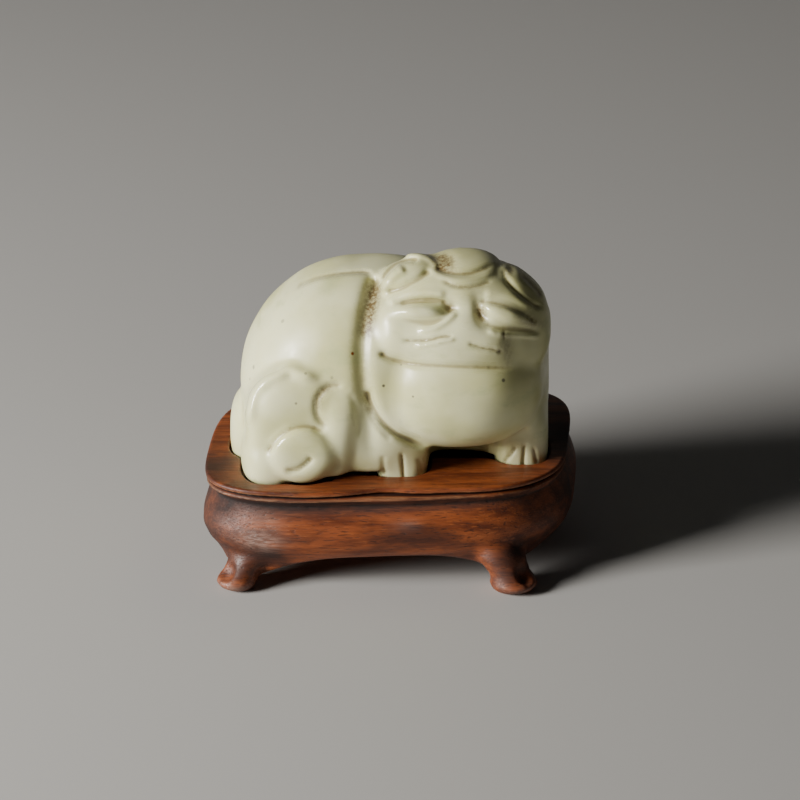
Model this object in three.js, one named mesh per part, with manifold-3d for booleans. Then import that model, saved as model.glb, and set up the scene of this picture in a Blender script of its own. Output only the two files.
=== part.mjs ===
// Jade lion carving on its fitted hardwood stand.
// Units are millimetres, +Z is up and -Y is the side that the lion faces.
// The origin is on the ground, under the middle of the stand.
import * as THREE from 'three';
import { mergeVertices } from 'three/addons/utils/BufferGeometryUtils.js';
import Module from 'manifold-3d';

const wasm = await Module();
wasm.setup();

// Driving dimensions of the stand
const STAND_HEIGHT = 22.0;
const RIM_HALF_LENGTH = 36.1;
const RIM_HALF_DEPTH = 25.9;
const RIM_SQUARENESS = 3.76;
const RIM_SHEAR = 0.145;
const RIM_TURN = THREE.MathUtils.degToRad(3);
const RIM_CENTRE_Y = 3.0;
const BULGE_SHIFT = 0.5;
const SHIFT_TOP = 21.0;
const SHIFT_BOTTOM = 17.0;
const APRON_HEIGHT = 7.3;
const CEILING_HEIGHT = 15.0;
const CEILING_BEVEL = 1.5;
const INNER_INSET = 5.2;
const FOOT_DROP = 7.9;
const FOOT_CURVE = 2.3;
const FOOT_SIDES = 12;
const STATIONS = 44;
const LOWER_ROWS = 5;

// Driving dimensions of the seat that is sunk in the stand's top
const SEAT_DEPTH = 2.0;
const SEAT_GAP = 1.0;
const SEAT_CENTRE = { x: 2, y: 6 };
const SEAT_REACH = 42;
const SEAT_STEPS = 72;
const SEAT_UNDER_CHEST = { at: [14.5, 3, 0], half: [9, 9.2, 5], square: 2.5, deep: 2.5 };
const RESTING_GAP = 0.3;

// Driving dimensions of the lion
const LION_BASE = STAND_HEIGHT - SEAT_DEPTH + RESTING_GAP;
const BELLY_HEIGHT = 22.6;
const FRONT_TILT = THREE.MathUtils.degToRad(24);

// Grid of the carved surface
const FACE_CELL = 1.5;
const FRONT_CELL = 1.8;
const BODY_CELL = 2.5;
const BACK_CELL = 3.8;
const NARROWEST_CUT = 1.5;
const CARVING_DEPTH = 4;

const JADE = { color: 0xd3d1b8, roughness: 0.28, metalness: 0.0 };
const HARDWOOD = { color: 0x5f2c14, roughness: 0.45, metalness: 0.0 };

// The lion's forms, in the order in which they are joined. A form is a rounded
// block: its middle, its half sizes, how square it is seen from the front, how
// square it is in depth, its turn in degrees, and how softly it joins the rest.
const BODY_FORMS = {
  trunk: { at: [-6, 2.5, 36], half: [23.7, 20.3, 23.6], square: 1.95, deep: 2.5, soft: 0 },
  shoulders: { at: [13.8, 4.5, 36], half: [17.9, 19.1, 22.4], square: 3.0, deep: 2.5, soft: 3 },
  nape: { at: [0, 3, 46], half: [12, 15, 13.6], square: 2.2, deep: 2.4, soft: 2 },
  shoulderNear: { at: [-0.5, -3.6, 37], half: [6.5, 12, 15], square: 2.2, deep: 2.4, soft: 3 },
  thighNear: { at: [-17.6, -3.7, 28.5], half: [10.9, 14.4, 16.2], square: 2.5, deep: 6, soft: 1.4 },
  thighFar: { at: [-17.6, 9.2, 28.5], half: [10.9, 14, 16.2], square: 2.5, deep: 3, soft: 1.4 },
  lockLeft: { at: [3.5, 13, 44.5], half: [5.6, 9.4, 11], square: 2.2, deep: 2.2, soft: 0.8 },
  lockMiddle: { at: [14.2, 14, 46], half: [5.6, 9.6, 12], square: 2.2, deep: 2.2, soft: 0.8 },
  lockRight: { at: [24.6, 13, 41.5], half: [5.6, 9.4, 10], square: 2.2, deep: 2.2, soft: 0.8 },
};
const HEAD_FORMS = {
  head: { at: [13.9, -4.8, 48.7], half: [17.7, 12.9, 9.9], square: 3.1, deep: 2.6, lean: 24, soft: 0.8 },
  cheek: { at: [2.8, -7.3, 49.9], half: [6.4, 9.3, 7], square: 2.6, deep: 2.6, lean: 24, soft: 1.5 },
  crown: { at: [12, -4.2, 58], half: [11.8, 9.2, 5], square: 2.6, deep: 2.4, soft: 2 },
  boss: { at: [14.4, -3.4, 60.8], half: [7.6, 6.8, 3.6], square: 2.2, deep: 2.2, soft: 1 },
  earLeft: { at: [3.4, -4.4, 58.8], half: [6.4, 6.4, 4.1], square: 2.3, deep: 2.3, roll: -22, soft: 1 },
  earRight: { at: [25, -4.8, 57], half: [6.6, 5.7, 3.5], square: 2.3, deep: 2.3, roll: 42, soft: 0.6 },
};
const LIMB_FORMS = {
  chest: { at: [13, -6.4, 39], half: [17.2, 14.4, 13.1], square: 2.3, deep: 2.15, soft: 1.5 },
  tail: { at: [-26.5, 0.5, 25.5], half: [5.4, 7, 8.8], square: 2.6, deep: 2.6, soft: 0.8 },
  heel: { at: [-23.2, -9, 24.5], half: [6.2, 10, 6], square: 2.4, deep: 2.6, soft: 1.5 },
  hindPaw: { at: [-17.3, -11.5, 28], half: [7.5, 8.6, 7], square: 2, deep: 4, soft: 0.7 },
  hindPawFar: { at: [-18.2, 15, 27.6], half: [7.2, 7.6, 7.2], square: 2, deep: 3, soft: 1 },
  knee: { at: [-10, -12.6, 32.6], half: [4.5, 6.4, 9.7], square: 2.2, deep: 2.2, roll: 5, soft: 1.2 },
  kneeFar: { at: [-10.2, 16.5, 32.8], half: [3.9, 6.4, 9.9], square: 2.2, deep: 2.2, roll: 5, soft: 0.7 },
  forepawNear: { at: [2.3, -8.2, 26], half: [5.2, 7.1, 12], square: 3.2, deep: 3, soft: 1.2 },
  forelegNear: { at: [0.8, -7.2, 36], half: [5, 8.6, 14], square: 2.4, deep: 2.4, soft: 2.5 },
  forepawFar: { at: [26, -1.6, 25], half: [5.5, 8, 8.4], square: 3.2, deep: 3, soft: 1 },
  rearBase: { at: [14, 12, 27], half: [15.5, 9.5, 9], square: 3, deep: 3, soft: 2 },
};

// The space under the chest, between the forelegs and beside the far one
const FORELEG_GAPS = [
  { at: [14.1, -16, 20.6], half: [6.7, 11, 9.5], square: 4, deep: 4, roll: -5 },
  { at: [22.5, -17, 21.5], half: [9, 10, 9], square: 4, deep: 4, roll: -24 },
];

// Soft hollows and swellings of the face. They are laid out on a plane that
// leans back by FRONT_TILT: across it in X, and up it from the ground.
const FACE_SPOTS = {
  socketLeft: { at: [8, 46], half: [7, 2.8], turn: -4, edge: 3, raise: -1.3 },
  socketRight: { at: [20.5, 45.6], half: [8.2, 3], turn: -12, edge: 3, raise: -1 },
  eyeLeft: { at: [5.9, 45.7], half: [4.5, 1.6], turn: -3, edge: 3, raise: 2.5 },
  eyeRight: { at: [22.2, 45.4], half: [4.8, 1.8], turn: -16, edge: 2.5, raise: 1.9 },
  cheekRight: { at: [26, 39.2], half: [4.6, 3.6], turn: 0, edge: 3, raise: -1.1 },
  cornerLeft: { at: [11.5, 46.3], half: [1.6, 1.4], turn: 0, edge: 2, raise: -0.9 },
  cornerRight: { at: [17.5, 45.5], half: [1.6, 2.6], turn: 20, edge: 2, raise: -1.1 },
  noseBridge: { at: [14.2, 46.1], half: [2.6, 4.5], turn: 0, edge: 2, raise: 0.5 },
  muzzle: { at: [13.4, 39.5], half: [8.6, 4.6], turn: 0, edge: 4, raise: 1 },
  crownHollow: { at: [10.4, 55.6], half: [2.6, 2.2], turn: -20, edge: 3, raise: -0.6 },
};

// Carved lines on the same leaning plane: the way they run, their half width
// and how far they stand out (above nought) or are cut in (below nought).
const FRONT_LINES = {
  browLeft: { way: [[-0.8, 47.4], [1.4, 48.4], [4, 49], [8, 49.2], [11.2, 48.7]], wide: 1.2, raise: 0.6 },
  browRight: { way: [[17.9, 48.9], [21.4, 48.7], [24.9, 47.9], [28, 46]], wide: 1.2, raise: 0.4 },
  noseFlare: { way: [[12.8, 45.9], [11.6, 44.6], [9.7, 43.3], [8, 42.5], [5, 41.9]], wide: 1.2, raise: 0.5 },
  cheekCut: { way: [[18.1, 43.5], [19.8, 42.8], [21.7, 42.4], [25.2, 42.3], [29.7, 41.9]], wide: 0.8, raise: -0.6 },
  bossCut: { way: [[8.6, 54.9], [10.3, 53.7], [12.2, 53.2], [14.9, 53.1], [17.5, 53.8], [20.8, 55.2]], wide: 0.8, raise: -0.6 },
  earCurl: { way: [[-1.6, 51.8], [-0.8, 53.4], [1.4, 55.5], [4.2, 56.1], [5.6, 55.6]], wide: 0.8, raise: -0.6 },
  earLobe: { way: [[-2.2, 50], [-0.6, 51.6], [0.8, 53], [3, 54.6]], wide: 1.1, raise: 0.7 },
  earUnder: { way: [[-1.4, 49.6], [1.9, 50.2], [4.3, 51.3], [6.2, 52.4], [8.2, 54.2]], wide: 0.9, raise: -0.7 },
  earRightLow: { way: [[21.4, 54.4], [22.2, 52.4], [23.7, 50.6], [25.6, 48.9], [27.8, 47.6], [30, 46.8]], wide: 0.9, raise: -0.8 },
  haunchRidge: {
    way: [[-27.8, 22.5], [-27.4, 26.7], [-26.6, 30], [-24.3, 32.4], [-19.4, 34.7], [-16.6, 33.6], [-13, 32.7]],
    wide: 1.3,
    raise: 1.1,
  },
  chestCut: { way: [[-4.5, 31], [-4.1, 29.2], [-3.1, 26.9], [-1.6, 24.6], [0.4, 22.8], [2.7, 21.4]], wide: 1.2, raise: -0.8 },
  pawEdge: { way: [[-24, 17.8], [-22.8, 20], [-21, 21.9], [-18.4, 23.2], [-15.4, 23.4], [-12.6, 22.2]], wide: 0.9, raise: -0.6 },
  pawCurl: { way: [[-15.6, 18.1], [-15.9, 16.8], [-16.6, 15.8], [-17.9, 15.1], [-20.3, 14.8]], wide: 0.9, raise: -0.8 },
  kneeCut: { way: [[-11.8, 22.7], [-13.9, 25.2], [-14.3, 28.1], [-13.2, 30.3], [-11.3, 31.5], [-8.8, 31.4]], wide: 0.9, raise: -0.5 },
  neckCut: {
    way: [[-2.5, 53.5], [-2.9, 51], [-3.9, 47.1], [-4.7, 43.2], [-5.8, 34.5], [-5.8, 28.7], [-4.3, 14.7]],
    wide: 1.7,
    raise: -1.5,
  },
};

// Joins and cuts of shapes that are given as distances, inside below nought
function softJoin(a, b, soft) {
  if (soft === 0 || a === Infinity) return Math.min(a, b);
  const share = THREE.MathUtils.clamp(0.5 + (0.5 * (b - a)) / soft, 0, 1);
  return THREE.MathUtils.lerp(b, a, share) - soft * share * (1 - share);
}

function softKeep(a, b, soft) {
  return -softJoin(-a, -b, soft);
}

// Distance to a rounded block, measured along the ray from its middle
function formDistance(form, x, y, z) {
  let dx = x - form.at[0];
  let dy = y - form.at[1];
  let dz = z - form.at[2];
  if (form.lean) {
    const angle = THREE.MathUtils.degToRad(form.lean);
    [dy, dz] = [
      dy * Math.cos(angle) - dz * Math.sin(angle),
      dy * Math.sin(angle) + dz * Math.cos(angle),
    ];
  }
  if (form.roll) {
    const angle = THREE.MathUtils.degToRad(form.roll);
    [dx, dz] = [
      dx * Math.cos(angle) - dz * Math.sin(angle),
      dx * Math.sin(angle) + dz * Math.cos(angle),
    ];
  }
  const across = Math.abs(dx / form.half[0]) ** form.square + Math.abs(dz / form.half[2]) ** form.square;
  const depth = Math.abs(dy / form.half[1]) ** form.deep;
  const reach = (across ** (form.deep / form.square) + depth) ** (1 / form.deep);
  const length = Math.hypot(dx, dy, dz);
  return (length * (reach - 1)) / Math.max(reach, 1e-3);
}

// Height of a soft round patch at a place on the leaning plane
function spotHeight(spot, x, up) {
  const angle = THREE.MathUtils.degToRad(spot.turn);
  const dx = x - spot.at[0];
  const dy = up - spot.at[1];
  const along = (dx * Math.cos(angle) + dy * Math.sin(angle)) / spot.half[0];
  const off = (dy * Math.cos(angle) - dx * Math.sin(angle)) / spot.half[1];
  return spot.raise * Math.exp(-((along * along + off * off) ** (spot.edge / 2)));
}

// Height of a carved line at a place on the leaning plane, fading at its ends
function lineHeight(line, x, up) {
  let nearest = Infinity;
  let share = 0;
  const last = line.points.length - 1;
  for (let i = 0; i < last; i += 1) {
    const a = line.points[i];
    const b = line.points[i + 1];
    const dx = b.x - a.x;
    const dy = b.y - a.y;
    const t = THREE.MathUtils.clamp(((x - a.x) * dx + (up - a.y) * dy) / (dx * dx + dy * dy), 0, 1);
    const away = Math.hypot(x - a.x - t * dx, up - a.y - t * dy);
    if (away < nearest) {
      nearest = away;
      share = (i + t) / last;
    }
  }
  const fade = THREE.MathUtils.smoothstep(Math.min(share, 1 - share), 0, 0.14);
  return line.raise * fade * Math.exp(-((nearest / line.width) ** 2));
}

const frontLines = Object.values(FRONT_LINES).map(({ way, wide, raise }) => ({
  points: new THREE.SplineCurve(way.map(([x, up]) => new THREE.Vector2(x, up))).getPoints(18),
  width: Math.max(wide, NARROWEST_CUT),
  raise,
}));

function joinForms(distance, forms, x, y, z) {
  return Object.values(forms).reduce(
    (sum, form) => softJoin(sum, formDistance(form, x, y, z), form.soft),
    distance,
  );
}

// The lion as one field: below nought inside the stone
function lionField(x, y, z) {
  let distance = joinForms(Infinity, BODY_FORMS, x, y, z);
  distance = joinForms(distance, HEAD_FORMS, x, y, z);
  distance = softKeep(distance, BELLY_HEIGHT - z, 1.5);
  for (const gap of FORELEG_GAPS) distance = softKeep(distance, -formDistance(gap, x, y, z), 1.0);
  distance = joinForms(distance, LIMB_FORMS, x, y, z);
  if (Math.abs(distance) < CARVING_DEPTH) {
    const up = z * Math.cos(FRONT_TILT) + y * Math.sin(FRONT_TILT);
    const facing = THREE.MathUtils.smoothstep(-y, -4, 3);
    const spots = Object.values(FACE_SPOTS).reduce((sum, spot) => sum + spotHeight(spot, x, up), 0);
    const lines = frontLines.reduce((sum, line) => sum + lineHeight(line, x, up), 0);
    distance -= facing * (spots + lines);
  }
  return softKeep(distance, LION_BASE - z, 0.3);
}

// Grid planes from one end to the other, with a finer stretch between
function gridPlanes(from, to, coarse, fineFrom, fineTo, fine) {
  const planes = [from];
  while (planes[planes.length - 1] < to) {
    const at = planes[planes.length - 1];
    planes.push(at + (at >= fineFrom && at < fineTo ? fine : coarse));
  }
  return planes;
}

// Slides a point down the field's slope until it lies on the surface
function settle(field, point, low, high) {
  const probe = 0.05;
  for (let pass = 0; pass < 4; pass += 1) {
    const { x, y, z } = point;
    const value = field(x, y, z);
    const slope = new THREE.Vector3(
      field(x + probe, y, z) - field(x - probe, y, z),
      field(x, y + probe, z) - field(x, y - probe, z),
      field(x, y, z + probe) - field(x, y, z - probe),
    ).divideScalar(2 * probe);
    point.addScaledVector(slope, -value / Math.max(slope.lengthSq(), 0.05));
    point.clamp(low, high);
  }
}

// Edges of a grid cell, four along each axis, by the corners at their ends
const CELL_EDGES = [];
for (let axis = 0; axis < 3; axis += 1) {
  for (let n = 0; n < 4; n += 1) {
    const start = [0, 0, 0];
    start[(axis + 1) % 3] = n & 1;
    start[(axis + 2) % 3] = n >> 1;
    const end = start.map((step, m) => (m === axis ? 1 : step));
    CELL_EDGES.push({ start, end });
  }
}
const CELL_SIDES = [0, 1, 2].flatMap((axis) => [0, 1].map((step) => ({ axis, step })));

// Sheets of the surface in one cell, each a list of the edges that it crosses.
// On a side with four crossings, the two round each inside corner belong together.
function sheetsOfCell(crossed, isInside) {
  const sheet = crossed.map((_, n) => n);
  const unite = (a, b) => {
    const [kept, gone] = [sheet[a], sheet[b]];
    sheet.forEach((value, n) => {
      if (value === gone) sheet[n] = kept;
    });
  };
  for (const { axis, step } of CELL_SIDES) {
    const onSide = CELL_EDGES.flatMap(({ start, end }, n) =>
      crossed[n] && start[axis] === step && end[axis] === step ? [n] : [],
    );
    if (onSide.length === 2) unite(onSide[0], onSide[1]);
    if (onSide.length !== 4) continue;
    const insideEnd = (n) => {
      const { start, end } = CELL_EDGES[n];
      return (isInside(start) ? start : end).join();
    };
    for (const n of onSide) {
      unite(n, onSide.find((m) => m !== n && insideEnd(m) === insideEnd(n)));
    }
  }
  const kinds = [...new Set(sheet.filter((_, n) => crossed[n]))];
  return kinds.map((kind) => sheet.flatMap((value, n) => (value === kind && crossed[n] ? [n] : [])));
}

// Closed skin of a field: one point for each sheet of the surface in a grid cell,
// and two triangles across each grid edge that the surface crosses
function skinField(field, xs, ys, zs) {
  const planes = [xs, ys, zs];
  const size = planes.map((list) => list.length);
  const index = (i, j, k) => (k * size[1] + j) * size[0] + i;
  const values = new Float64Array(size[0] * size[1] * size[2]);
  for (let k = 0; k < size[2]; k += 1) {
    for (let j = 0; j < size[1]; j += 1) {
      for (let i = 0; i < size[0]; i += 1) values[index(i, j, k)] = field(xs[i], ys[j], zs[k]);
    }
  }
  const positions = [];
  const pointOfEdge = new Map();
  const addCell = (i, j, k) => {
    const valueAt = ([di, dj, dk]) => values[index(i + di, j + dj, k + dk)];
    const isInside = (corner) => valueAt(corner) < 0;
    const crossed = CELL_EDGES.map(({ start, end }) => isInside(start) !== isInside(end));
    if (!crossed.includes(true)) return;
    const placeAt = ([di, dj, dk]) => new THREE.Vector3(xs[i + di], ys[j + dj], zs[k + dk]);
    const low = placeAt([0, 0, 0]);
    const high = placeAt([1, 1, 1]);
    for (const edges of sheetsOfCell(crossed, isInside)) {
      const point = new THREE.Vector3();
      for (const n of edges) {
        const { start, end } = CELL_EDGES[n];
        const share = valueAt(start) / (valueAt(start) - valueAt(end));
        point.addScaledVector(placeAt(start).lerp(placeAt(end), share), 1 / edges.length);
        pointOfEdge.set(12 * index(i, j, k) + n, positions.length / 3);
      }
      settle(field, point, low, high);
      positions.push(point.x, point.y, point.z);
    }
  };
  for (let k = 0; k < size[2] - 1; k += 1) {
    for (let j = 0; j < size[1] - 1; j += 1) {
      for (let i = 0; i < size[0] - 1; i += 1) addCell(i, j, k);
    }
  }
  const at = (n) => new THREE.Vector3().fromArray(positions, 3 * n);
  const faces = [];
  const strides = [index(1, 0, 0), index(0, 1, 0), index(0, 0, 1)];
  const addFaces = (here, axis) => {
    const inside = values[here] < 0;
    if (inside === values[here + strides[axis]] < 0) return;
    const u = strides[(axis + 1) % 3];
    const v = strides[(axis + 2) % 3];
    const around = [
      [here - u - v, 3],
      [here - v, 2],
      [here, 0],
      [here - u, 1],
    ];
    const quad = around.map(([cell, n]) => pointOfEdge.get(12 * cell + 4 * axis + n));
    if (!inside) quad.reverse();
    const [a, b, c, d] = quad;
    if (at(a).distanceTo(at(c)) <= at(b).distanceTo(at(d))) faces.push(a, b, c, a, c, d);
    else faces.push(b, c, d, b, d, a);
  };
  for (let k = 1; k < size[2] - 1; k += 1) {
    for (let j = 1; j < size[1] - 1; j += 1) {
      for (let i = 1; i < size[0] - 1; i += 1) {
        for (let axis = 0; axis < 3; axis += 1) addFaces(index(i, j, k), axis);
      }
    }
  }
  return geometryFrom(positions, faces);
}

function geometryFrom(positions, faces) {
  const geometry = new THREE.BufferGeometry();
  geometry.setAttribute('position', new THREE.Float32BufferAttribute(positions, 3));
  geometry.setIndex(faces);
  return geometry;
}

function makeLion() {
  const xs = gridPlanes(-35, 34, BODY_CELL, -8, 33, FACE_CELL);
  const ys = gridPlanes(-24, 27, BACK_CELL, -24, -1, FRONT_CELL);
  const zs = gridPlanes(17.6, 66, BODY_CELL, 42, 63, FACE_CELL);
  return skinField(lionField, xs, ys, zs);
}

// The stand's side from the rim down: height, then how far out of the rim
const SIDE_PROFILE = [
  [22.0, -0.35],
  [21.7, 0.0],
  [21.1, 0.0],
  [20.8, -0.8],
  [20.4, -0.3],
  [20.0, -0.1],
  [19.6, -0.5],
  [18.6, -1.3],
  [17.0, -0.7],
  [15.0, 0.2],
  [13.0, 0.8],
  [11.0, 0.9],
  [9.0, 0.1],
  [7.5, -1.0],
  [5.0, -2.4],
  [3.0, -3.0],
];
const FIXED_ROWS = 11;

// The four feet: middle of the toe, its size, and how far the apron sweeps down to it
const FEET = [
  { toe: new THREE.Vector2(-30.2, -20.0), size: 1.0, sweep: 24 },
  { toe: new THREE.Vector2(24.2, -20.9), size: 1.2, sweep: 18 },
  { toe: new THREE.Vector2(30.2, 26.0), size: 1.0, sweep: 24 },
  { toe: new THREE.Vector2(-24.2, 26.9), size: 1.2, sweep: 18 },
];

// A foot's rings from the top down: height, slide outwards, radius
const FOOT_RINGS = [
  [9.5, -5.6, 4.2],
  [7.0, -3.8, 4.2],
  [5.0, -2.2, 3.7],
  [3.6, -0.9, 3.4],
  [2.4, 0.1, 3.7],
  [1.6, 0.2, 3.9],
  [0.8, 0.0, 3.5],
  [0.0, -0.6, 2.6],
];

function sideOffset(height) {
  const below = SIDE_PROFILE.findIndex(([z]) => z <= height + 1e-6);
  if (below <= 0) return SIDE_PROFILE[0][1];
  const [upper, lower] = [SIDE_PROFILE[below - 1], SIDE_PROFILE[below]];
  return THREE.MathUtils.mapLinear(height, upper[0], lower[0], upper[1], lower[1]);
}

// Point of the rim's outline: a rounded rectangle, sheared and turned a little
function rimPoint(angle) {
  const power = 2 / RIM_SQUARENESS;
  const x = RIM_HALF_LENGTH * Math.sign(Math.cos(angle)) * Math.abs(Math.cos(angle)) ** power;
  const y = RIM_HALF_DEPTH * Math.sign(Math.sin(angle)) * Math.abs(Math.sin(angle)) ** power;
  return new THREE.Vector2(x + RIM_SHEAR * y, y)
    .rotateAround(new THREE.Vector2(), RIM_TURN)
    .add(new THREE.Vector2(0, RIM_CENTRE_Y));
}

// Rings of points one above the other, closed by a point at each end
function stackRings(rings, first, last) {
  const positions = rings.flat(2).concat(first, last);
  const around = rings[0].length;
  const firstPoint = rings.length * around;
  const lastPoint = firstPoint + 1;
  const bottomRing = (rings.length - 1) * around;
  const faces = [];
  for (let n = 0; n < around; n += 1) {
    const next = (n + 1) % around;
    faces.push(firstPoint, n, next);
    for (let ring = 0; ring < rings.length - 1; ring += 1) {
      const upper = ring * around;
      const lower = upper + around;
      faces.push(upper + n, lower + n, lower + next, upper + n, lower + next, upper + next);
    }
    faces.push(bottomRing + n, lastPoint, bottomRing + next);
  }
  return geometryFrom(positions, faces);
}

function makeStandBlank() {
  const stations = Array.from({ length: STATIONS }, (_, s) => {
    const angle = ((s + 0.5) * 2 * Math.PI) / STATIONS;
    const rim = rimPoint(angle);
    const along = rimPoint(angle + 0.02).sub(rimPoint(angle - 0.02)).normalize();
    const outward = new THREE.Vector2(along.y, -along.x);
    const nearToe = Math.min(...FEET.map(({ toe, sweep }) => toe.distanceTo(rim) / sweep), 1);
    const bottom = APRON_HEIGHT - FOOT_DROP * (1 - nearToe) ** FOOT_CURVE;
    const rows = SIDE_PROFILE.slice(0, FIXED_ROWS);
    for (let n = 1; n <= LOWER_ROWS; n += 1) {
      const z = THREE.MathUtils.lerp(rows[FIXED_ROWS - 1][0], bottom, n / LOWER_ROWS);
      rows.push([z, sideOffset(z)]);
    }
    rows.push([bottom, -INNER_INSET]);
    rows.push([CEILING_HEIGHT - CEILING_BEVEL, -INNER_INSET]);
    rows.push([CEILING_HEIGHT, -INNER_INSET - CEILING_BEVEL]);
    return rows.map(([z, out]) => {
      const shift = BULGE_SHIFT * THREE.MathUtils.smoothstep(-z, -SHIFT_TOP, -SHIFT_BOTTOM);
      return [rim.x + outward.x * out + shift, rim.y + outward.y * out, z];
    });
  });
  const rings = stations[0].map((_, n) => stations.map((rows) => rows[n]));
  return stackRings(rings, [0, RIM_CENTRE_Y, STAND_HEIGHT], [0, RIM_CENTRE_Y, CEILING_HEIGHT]);
}

function makeFoot({ toe, size }) {
  const away = toe.clone().sub(new THREE.Vector2(0, RIM_CENTRE_Y)).normalize();
  const rings = FOOT_RINGS.map(([z, slide, radius]) =>
    Array.from({ length: FOOT_SIDES }, (_, n) => {
      const angle = (n * 2 * Math.PI) / FOOT_SIDES;
      const x = toe.x + away.x * slide + size * radius * Math.cos(angle);
      const y = toe.y + away.y * slide + size * radius * Math.sin(angle);
      return [x, y, z];
    }),
  );
  const middleOf = ([z, slide]) => [toe.x + away.x * slide, toe.y + away.y * slide, z];
  return stackRings(rings, middleOf(FOOT_RINGS[0]), middleOf(FOOT_RINGS[FOOT_RINGS.length - 1]));
}

// The seat follows the lion's own foot outline, a little wider, and lies open under the chest
function makeSeat() {
  const levels = [LION_BASE + 0.2, STAND_HEIGHT - 0.8, STAND_HEIGHT + 0.1];
  const radii = [];
  for (let s = 0; s < SEAT_STEPS; s += 1) {
    const angle = (s * 2 * Math.PI) / SEAT_STEPS;
    let reach = 0;
    for (const z of levels) {
      let r = SEAT_REACH;
      while (r > 0) {
        const x = SEAT_CENTRE.x + r * Math.cos(angle);
        const y = SEAT_CENTRE.y + r * Math.sin(angle);
        const foot = Math.min(lionField(x, y, z), formDistance(SEAT_UNDER_CHEST, x, y, 0));
        if (foot < SEAT_GAP) break;
        r -= 0.1;
      }
      reach = Math.max(reach, r);
    }
    radii.push(reach);
  }
  const outline = radii.map((r, s) => {
    const angle = (s * 2 * Math.PI) / SEAT_STEPS;
    return new THREE.Vector2(SEAT_CENTRE.x + r * Math.cos(angle), SEAT_CENTRE.y + r * Math.sin(angle));
  });
  const seat = new THREE.ExtrudeGeometry(new THREE.Shape(outline), {
    depth: SEAT_DEPTH + 1,
    bevelEnabled: false,
  });
  return seat.translate(0, 0, STAND_HEIGHT - SEAT_DEPTH);
}

function toSolid(geometry) {
  const bare = geometry.clone();
  bare.deleteAttribute('normal');
  bare.deleteAttribute('uv');
  const merged = mergeVertices(bare, 1e-4);
  return new wasm.Manifold(
    new wasm.Mesh({
      numProp: 3,
      vertProperties: new Float32Array(merged.attributes.position.array),
      triVerts: new Uint32Array(merged.index.array),
    }),
  );
}

function toGeometry(solid) {
  const mesh = solid.getMesh();
  return geometryFrom(Array.from(mesh.vertProperties), Array.from(mesh.triVerts));
}

function namedMesh(name, geometry, look) {
  geometry.computeVertexNormals();
  const mesh = new THREE.Mesh(geometry, new THREE.MeshStandardMaterial(look));
  mesh.name = name;
  return mesh;
}

function makeStand() {
  const body = toSolid(makeStandBlank()).subtract(toSolid(makeSeat()));
  return toGeometry(FEET.reduce((solid, foot) => solid.add(toSolid(makeFoot(foot))), body));
}

const object = new THREE.Group();
object.position.y = -RIM_CENTRE_Y;
object.add(namedMesh('lion_carving', makeLion(), JADE));
object.add(namedMesh('wood_stand', makeStand(), HARDWOOD));

export default object;
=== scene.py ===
"""Jade lion carving on its fitted rosewood stand: fine surfaces, finishes, studio light and camera.

Shapes are worked out in millimetres, with +Z up, -Y the side that the lion faces
and nought on the ground, and go into the meshes in metres.
"""

import bpy
import math
import numpy as np
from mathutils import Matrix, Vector


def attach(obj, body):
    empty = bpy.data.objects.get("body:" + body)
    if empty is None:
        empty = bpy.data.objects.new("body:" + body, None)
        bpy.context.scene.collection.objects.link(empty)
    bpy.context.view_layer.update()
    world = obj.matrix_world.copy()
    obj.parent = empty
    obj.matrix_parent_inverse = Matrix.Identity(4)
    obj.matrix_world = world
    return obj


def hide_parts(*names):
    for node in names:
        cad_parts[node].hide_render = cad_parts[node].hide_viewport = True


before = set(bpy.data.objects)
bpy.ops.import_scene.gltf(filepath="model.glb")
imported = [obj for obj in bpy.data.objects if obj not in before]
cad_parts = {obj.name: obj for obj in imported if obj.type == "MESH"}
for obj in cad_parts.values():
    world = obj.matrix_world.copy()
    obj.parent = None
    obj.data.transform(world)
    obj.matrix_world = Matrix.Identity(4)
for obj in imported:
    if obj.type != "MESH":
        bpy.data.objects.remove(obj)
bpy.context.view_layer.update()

MM = 0.001
FRONT_TILT = math.radians(24)
STAND_SHIFT = 3.0

# Heights of the stand and of the lion in it
STAND_HEIGHT = 22.0
SEAT_DEPTH = 2.0
SEAT_GAP = 0.8
LION_BASE = 20.3
BELLY_HEIGHT = 22.6


# Shapes as distances: below nought inside, above nought outside


def soft_join(a, b, soft):
    """Joins two shapes: the lesser distance, rounded off where the two differ by less than soft."""
    if soft == 0:
        return np.minimum(a, b)
    share = np.clip(0.5 + 0.5 * (b - a) / soft, 0, 1)
    return b + (a - b) * share - soft * share * (1 - share)


def soft_keep(a, b, soft):
    """Keeps what is inside both shapes, with a rounded edge."""
    return -soft_join(-a, -b, soft)


def smooth_step(value, low, high):
    """Goes from 0 at low to 1 at high, level at both ends."""
    share = np.clip((value - low) / (high - low), 0, 1)
    return share * share * (3 - 2 * share)


def turned(a, b, angle):
    """The pair (a, b) turned by an angle in degrees."""
    turn = math.radians(angle)
    return a * math.cos(turn) - b * math.sin(turn), a * math.sin(turn) + b * math.cos(turn)


def rounded_block(x, y, z, at, half, square, deep, lean=0, roll=0):
    """Distance to a rounded block, along the ray from its middle.

    reach = ((|x/a|^square + |z/c|^square)^(deep/square) + |y/b|^deep)^(1/deep) is 1 on the surface.
    """
    dx = x - at[0]
    dy = y - at[1]
    dz = z - at[2]
    if lean:
        dy, dz = turned(dy, dz, lean)
    if roll:
        dx, dz = turned(dx, dz, roll)
    across = np.abs(dx / half[0]) ** square + np.abs(dz / half[2]) ** square
    reach = (across ** (deep / square) + np.abs(dy / half[1]) ** deep) ** (1 / deep)
    length = np.sqrt(dx * dx + dy * dy + dz * dz)
    return length * (reach - 1) / np.maximum(reach, 1e-3)


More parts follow.
